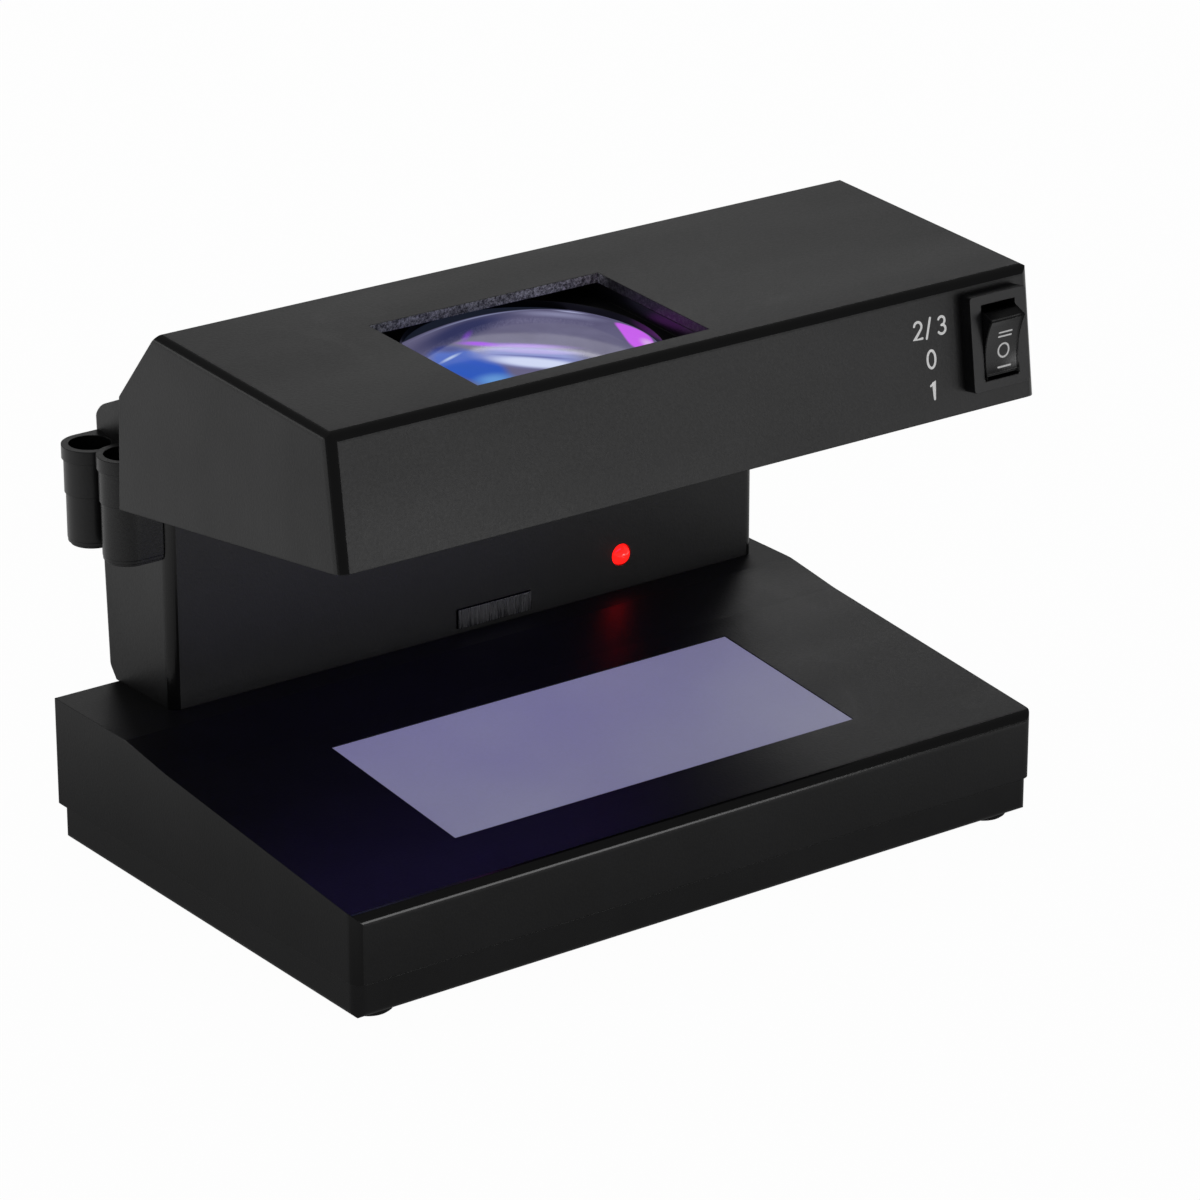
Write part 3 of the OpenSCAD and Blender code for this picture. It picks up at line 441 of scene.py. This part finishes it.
def lens_with_painted_light(name):
    """Dark, polished glass. The light that seems to lie in it is painted on, as soft glowing spots placed one by
    one, so it stays where it is in every view and doesn't come from the lamps."""
    g = Graph(name)
    u, v = in_window(g)

    def turned(cu, cv, angle):
        c, s = math.cos(math.radians(angle)), math.sin(math.radians(angle))
        du, dv = g.maths("SUBTRACT", u, cu), g.maths("SUBTRACT", v, cv)
        along = g.maths("ADD", g.maths("MULTIPLY", du, c), g.maths("MULTIPLY", dv, s))
        across = g.maths("SUBTRACT", g.maths("MULTIPLY", dv, c), g.maths("MULTIPLY", du, s))
        return along, across

    def spot(cu, cv, angle, half_length, half_width, soft=0.6, bend=0.0):
        """A soft ellipse, bent into a bow by bend per mm, with its soft edge a share of its size."""
        along, across = turned(cu, cv, angle)
        if bend:
            squared = g.maths("POWER", g.maths("ABSOLUTE", along), 2.0)
            across = g.maths("SUBTRACT", across, g.maths("MULTIPLY", squared, bend))
        a = g.maths("POWER", g.maths("DIVIDE", g.maths("ABSOLUTE", along), half_length), 2.0)
        b = g.maths("POWER", g.maths("DIVIDE", g.maths("ABSOLUTE", across), half_width), 2.0)
        return g.spread(g.maths("SQRT", g.maths("ADD", a, b)), 1.0, 1.0 - soft, smooth=True)

    haze = g.noise(90, 3, 0.5, distortion=0.8)
    # The glass's violet tone, which is also given out as glow: a painted glow, like the spots below.
    tone = g.mix(g.spread(haze, 0.3, 0.7), (0.100, 0.092, 0.175), (0.135, 0.127, 0.225))
    painted_lights = [
        # painted shade and light on the grey-violet glass: a dim far side, a pale patch by the right rim, the dark
        # outside of the rim
        (spot(-8, 15.5, 12, 20, 7.5, 0.8), (0.032, 0.036, 0.105)),
        (spot(14, 12.5, -36, 12, 5, 1.0), (0.25, 0.25, 0.40)),
        (spot(19.5, 15.5, -40, 5, 2.2, 1.0), (0.42, 0.44, 0.66)),
        (spot(0, 20.6, -4, 22, 0.8, 1.0, -0.004), (0.24, 0.26, 0.42)),
        (spot(0, 26.5, -4, 40, 5.2, 0.12, -0.004), (0.010, 0.013, 0.024)),
        # blue light at the left, deep above and azure below
        (spot(-17.8, -0.5, -82, 13, 5.4, 0.35), (0.022, 0.095, 0.49)),
        (spot(-16.5, 8.5, -62, 5, 2.6, 0.9), (0.012, 0.028, 0.22)),
        (spot(-17.5, -9, -40, 6, 3.4, 0.9), (0.12, 0.30, 0.66)),
        (spot(-18.8, 4.9, 2, 3.6, 0.9, 1.0), (0.42, 0.54, 0.78)),
        # white light in two bows, with a darker line between them
        (spot(-7, -6, -41, 14, 5.4, 0.5, 0.011), (0.24, 0.28, 0.60)),
        (spot(-4.6, -4.9, -38, 12, 1.6, 0.8, 0.012), (0.42, 0.37, 0.74)),
        (spot(-6.3, -6.5, -40, 12, 0.7, 0.8, 0.012), (0.13, 0.15, 0.42)),
        (spot(-7.2, -8.8, -42, 12, 2.6, 0.6, 0.012), (0.66, 0.72, 0.94)),
        # magenta light: a long streak with a short tail, and a patch by the right rim
        (spot(-5.6, -0.9, -41, 15, 1.7, 0.9, 0.011), (0.27, 0.13, 0.60)),
        (spot(-11.2, 5.6, -58, 6.5, 1.5, 0.9), (0.34, 0.04, 0.78)),
        (spot(-10.6, 10.8, 42, 5, 1.4, 1.0), (0.15, 0.05, 0.40)),
        (spot(23.2, -2.6, 66, 9.5, 3.6, 0.18, 0.02), (0.60, 0.13, 0.86)),
        (spot(23.0, -7.0, 60, 4.5, 2.4, 0.9), (0.70, 0.42, 0.84)),
    ]
    for share, colour in painted_lights:
        tone = g.mix(share, tone, colour)
    return g.surface(Base_Color=g.mix(0.75, tone, (0.01, 0.01, 0.015)), Roughness=0.10, IOR=1.45,
                     Transmission_Weight=0.12, Emission_Color=tone, Emission_Strength=0.9)


BLACK_DARK, BLACK_LIGHT = (0.0085, 0.0085, 0.0092), (0.0155, 0.0155, 0.0168)
FINISHES = {
    "black_abs": moulded_plastic("black_abs", BLACK_DARK, BLACK_LIGHT, 0.30, 1500, 0.02 * MM),
    "inner_black_abs": moulded_plastic("inner_black_abs", (0.004, 0.004, 0.005), (0.009, 0.009, 0.010),
                                       0.34, 1200, 0.02 * MM),
    "rubber": rubber("rubber"),
    "steel": plated_steel("steel"),
    "diffuser": frosted_acrylic("diffuser"),
    "white_tube": phosphor_tube("white_tube", (0.86, 0.87, 0.85), (1.0, 1.0, 1.0), 0.02),
    "uv_glass": phosphor_tube("uv_glass", (0.24, 0.16, 0.60), (0.26, 0.16, 1.0), 0.8),
    "cap_aluminium": rolled_aluminium("cap_aluminium", (0.80, 0.80, 0.81)),
    "white_plastic": white_moulding("white_plastic"),
    "reflector_aluminium": rolled_aluminium("reflector_aluminium", (0.86, 0.87, 0.89)),
    "circuit_board": circuit_board("circuit_board"),
    "winding": copper_winding("winding"),
    "capacitor_sleeve": shrink_sleeve("capacitor_sleeve"),
    "epoxy": epoxy("epoxy"),
    "sensor_metal": lapped_metal("sensor_metal"),
    "red_indicator": lit_indicator("red_indicator"),
    "lens_glass": lens_with_painted_light("lens_glass"),
    "switch_plastic": moulded_plastic("switch_plastic", (0.010, 0.010, 0.011), (0.016, 0.016, 0.018),
                                      0.30, 1800, 0.012 * MM, 0.3 * MM),
    "rocker_plastic": moulded_plastic("rocker_plastic", (0.006, 0.006, 0.007), (0.011, 0.011, 0.012),
                                      0.26, 1800, 0.008 * MM, 0.35 * MM),
    "brass": stamped_brass("brass"),
    "lead_insulation": insulation("lead_insulation"),
}
OWN_FINISHES = {
    "hood_shell": moulded_plastic("hood_abs", BLACK_DARK, BLACK_LIGHT, 0.42, 1500, 0.045 * MM,
                                  faces=HOOD_FACES, painted_light_wall=window_wall_painted_light),
    "base_upper_shell": moulded_plastic("base_abs", BLACK_DARK, BLACK_LIGHT, 0.40, 1500, 0.04 * MM,
                                        faces=BASE_FACES),
    "column_shell": moulded_plastic("column_abs", BLACK_DARK, BLACK_LIGHT, 0.40, 1500, 0.04 * MM,
                                    faces=COLUMN_FACES),
}


def finish_nodes():
    """Gives every CAD node its own finish, or else that of its slot in the record."""
    for part in frame["record"]["subparts"]:
        mesh = NODES[part["node"]].data
        if not mesh.materials:
            mesh.materials.append(None)
        for i in range(len(mesh.materials)):
            mesh.materials[i] = OWN_FINISHES.get(part["node"]) or FINISHES[part["material_slot"]]


# ---- Printed marks, as thin raised strokes ----
def arc(cx, cy, rx, ry, start, end, steps=24):
    """Points along an ellipse, from the angle start to the angle end in degrees."""
    angles = [math.radians(start + (end - start) * i / steps) for i in range(steps + 1)]
    return [(cx + rx * math.cos(a), cy + ry * math.sin(a)) for a in angles]


# Lines of each glyph, in heights, from the lower left
GLYPHS = {
    "0": [arc(0.30, 0.5, 0.25, 0.44, 90, 450, 40)],
    "1": [[(0.12, 0.76), (0.32, 0.94), (0.32, 0.06)]],
    "2": [arc(0.30, 0.69, 0.24, 0.25, 165, -38) + [(0.07, 0.06), (0.56, 0.06)]],
    "3": [arc(0.28, 0.725, 0.21, 0.215, 150, -90), arc(0.28, 0.285, 0.24, 0.225, 90, -150)],
    "/": [[(0.06, 0.0), (0.34, 1.0)]],
}
GLYPH_PITCH, GLYPH_GAP = 0.78, 0.18      # from one glyph to the next, and the gap in that, in heights
INK_HEIGHT, INK_SUNK = 0.03 * MM, 0.02 * MM
NUMERAL_STROKE = 0.55
NUMERALS = [("2/3", -16.2, 5.3, 4.2), ("0", -16.3, -1.5, 4.3), ("1", -16.1, -8.3, 4.3)]


def ribbon(points, width):
    """The outline of a stroke of that width with round ends, as pairs of points beside its line."""
    pairs = []
    for i, point in enumerate(points):
        before = Vector(points[max(i - 1, 0)])
        after = Vector(points[min(i + 1, len(points) - 1)])
        run = (after - before).normalized()
        side = Vector((-run.y, run.x)) * width / 2
        here = Vector(point)
        if 0 < i < len(points) - 1:
            first, second = (here - before).normalized(), (after - here).normalized()
            side /= max(0.5, math.sqrt((1 + first.dot(second)) / 2))
        pairs.append((here, run, side))
    start, end = pairs[0], pairs[-1]
    caps = [(math.cos(math.radians(a)), math.sin(math.radians(a))) for a in (75, 50, 25)]
    head = [(start[0] - start[1] * c * width / 2, start[1], start[2] * s) for s, c in caps[::-1]]
    tail = [(end[0] + end[1] * c * width / 2, end[1], end[2] * s) for s, c in caps]
    return [(p + s, p - s) for p, _, s in head + pairs + tail[::-1]]


def add_stroke(bm, points, width, surface):
    """A closed raised stroke on a surface, which is a function from two coordinates, in mm, to a
    point and its normal."""
    rows = []
    for left, right in ribbon(points, width):
        row = []
        for flat in (left, right):
            point, out = surface(flat.x, flat.y)
            row += [bm.verts.new(point + out * INK_HEIGHT), bm.verts.new(point - out * INK_SUNK)]
        rows.append(row)
    for (a, b, c, d), (e, f, g, h) in zip(rows, rows[1:]):
        for face in ((a, c, g, e), (b, f, h, d), (a, e, f, b), (c, d, h, g)):
            bm.faces.new(face)
    for a, b, c, d in (rows[0], rows[-1][2:] + rows[-1][:2]):
        bm.faces.new((a, b, d, c))


def make_piece(name, bm, material, body, smooth=0.0):
    """A mesh piece on a body. Edges sharper than smooth, in degrees, stay sharp."""
    bmesh.ops.recalc_face_normals(bm, faces=bm.faces)
    mesh = bpy.data.meshes.new(name)
    bm.to_mesh(mesh)
    bm.free()
    mesh.materials.append(material)
    piece = bpy.data.objects.new(name, mesh)
    SCENE.collection.objects.link(piece)
    if smooth:
        mesh.shade_smooth()
        mesh.set_sharp_from_angle(angle=math.radians(smooth))
    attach(piece, body)
    return piece


def on_hood_front(x, up):
    """The point and normal of the hood's front at x and up, in mm from the switch's centre."""
    return FRONT_CENTRE + Vector((x, 0, 0)) * MM + FRONT_UP * up * MM, FRONT_OUT


def make_legends():
    """Position numbers beside the switch: two functions at the top, off in the middle, one below."""
    bm = bmesh.new()
    for text, x_mid, up_mid, height in NUMERALS:
        start = x_mid - (len(text) * GLYPH_PITCH - GLYPH_GAP) * height / 2
        for i, letter in enumerate(text):
            left = start + i * GLYPH_PITCH * height
            for line in GLYPHS[letter]:
                points = [(left + x * height, up_mid + (y - 0.5) * height) for x, y in line]
                add_stroke(bm, points, NUMERAL_STROKE, on_hood_front)
    white_ink = printed_ink("white_ink", (0.95, 0.95, 0.95), 0.26)
    make_piece("position_numbers", bm, white_ink, "body")


# ---- Rocker ----
ROCKER_STEP = math.radians(12)
ROCKER_UP, ROCKER_OUT = sloped(FRONT_TILT + ROCKER_STEP)
FACE_HALF, FACE_MID, FACE_RISE = 6.4, 4.7, 1.2   # half the face's length, its middle and its ends, in mm
FACE_STEPS = 16
ROCKER_HALF_WIDTH = 4.5
ROCKER_ENDS = [(3.0, -5.4), (5.4, -1.6), (7.4, 3.0)]     # from its foot to its upper end, mirrored below
ROCKER_EDGE = 0.45 * MM
PIN_X, PIN_RADIUS, PIN_LENGTH = 5.2 * MM, 1.5 * MM, 1.6 * MM
MARK_X, BAR_HALF, BAR_STROKE = 0.7, 1.7, 0.38
BARS_UP = (2.9, 1.9, -4.9)
RING_UP, RING_RADII, RING_STROKE = -1.4, (1.45, 1.5), 0.42


def on_rocker(x, up):
    """The point and normal of the rocker's hollow face at x and up, in mm from its pivot."""
    slope = 2 * FACE_RISE * up / FACE_HALF ** 2
    out = FACE_MID + FACE_RISE * (up / FACE_HALF) ** 2
    point = ROCKER_PIVOT + Vector((x * MM, 0, 0)) + (ROCKER_UP * up + ROCKER_OUT * out) * MM
    return point, (ROCKER_OUT - ROCKER_UP * slope).normalized()


def make_rocker():
    """The rocker with softly rounded edges and its two pins, and its three marks."""
    halves = [1 - 2 * i / FACE_STEPS for i in range(FACE_STEPS + 1)]
    face = [(FACE_HALF * t, FACE_MID + FACE_RISE * t ** 2) for t in halves]
    outline = ROCKER_ENDS + face + [(-up, out) for up, out in ROCKER_ENDS[::-1]]
    bm = bmesh.new()
    rings = []
    for x in (-ROCKER_HALF_WIDTH, ROCKER_HALF_WIDTH):
        side = ROCKER_PIVOT + Vector((x * MM, 0, 0))
        rings.append([bm.verts.new(side + (ROCKER_UP * up + ROCKER_OUT * out) * MM) for up, out in outline])
    for i in range(len(outline)):
        j = (i + 1) % len(outline)
        bm.faces.new((rings[0][i], rings[0][j], rings[1][j], rings[1][i]))
    bm.faces.new(rings[0])
    bm.faces.new(rings[1][::-1])
    bm.normal_update()
    sharp = [e for e in bm.edges if e.calc_face_angle(0) > math.radians(24)]
    bmesh.ops.bevel(bm, geom=sharp, offset=ROCKER_EDGE, offset_type="OFFSET", segments=4, profile=0.5,
                    affect="EDGES", clamp_overlap=True)
    across = Matrix.Rotation(math.pi / 2, 4, "Y")
    for side in (-1, 1):
        place = Matrix.Translation(ROCKER_PIVOT + Vector((side * PIN_X, 0, 0))) @ across
        bmesh.ops.create_cone(bm, cap_ends=True, segments=32, radius1=PIN_RADIUS, radius2=PIN_RADIUS,
                              depth=PIN_LENGTH, matrix=place)
    skin = make_piece("rocker_button", bm, FINISHES["rocker_plastic"], "mode_rocker", 40)
    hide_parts("rocker")
    marks = bmesh.new()
    for up in BARS_UP:
        add_stroke(marks, [(MARK_X - BAR_HALF, up), (MARK_X + BAR_HALF, up)], BAR_STROKE, on_rocker)
    add_stroke(marks, arc(MARK_X, RING_UP, *RING_RADII, 90, 450, 40), RING_STROKE, on_rocker)
    grey_ink = printed_ink("grey_ink", (0.80, 0.80, 0.80), 0.18)
    make_piece("rocker_marks", marks, grey_ink, "mode_rocker")


make_camera()
make_world()
for name, (place, width, height, radiance) in SOFTBOXES.items():
    make_softbox(name, place, width, height, radiance)
make_floor()
finish_nodes()
make_legends()
make_rocker()

SCENE.view_settings.view_transform = "Standard"
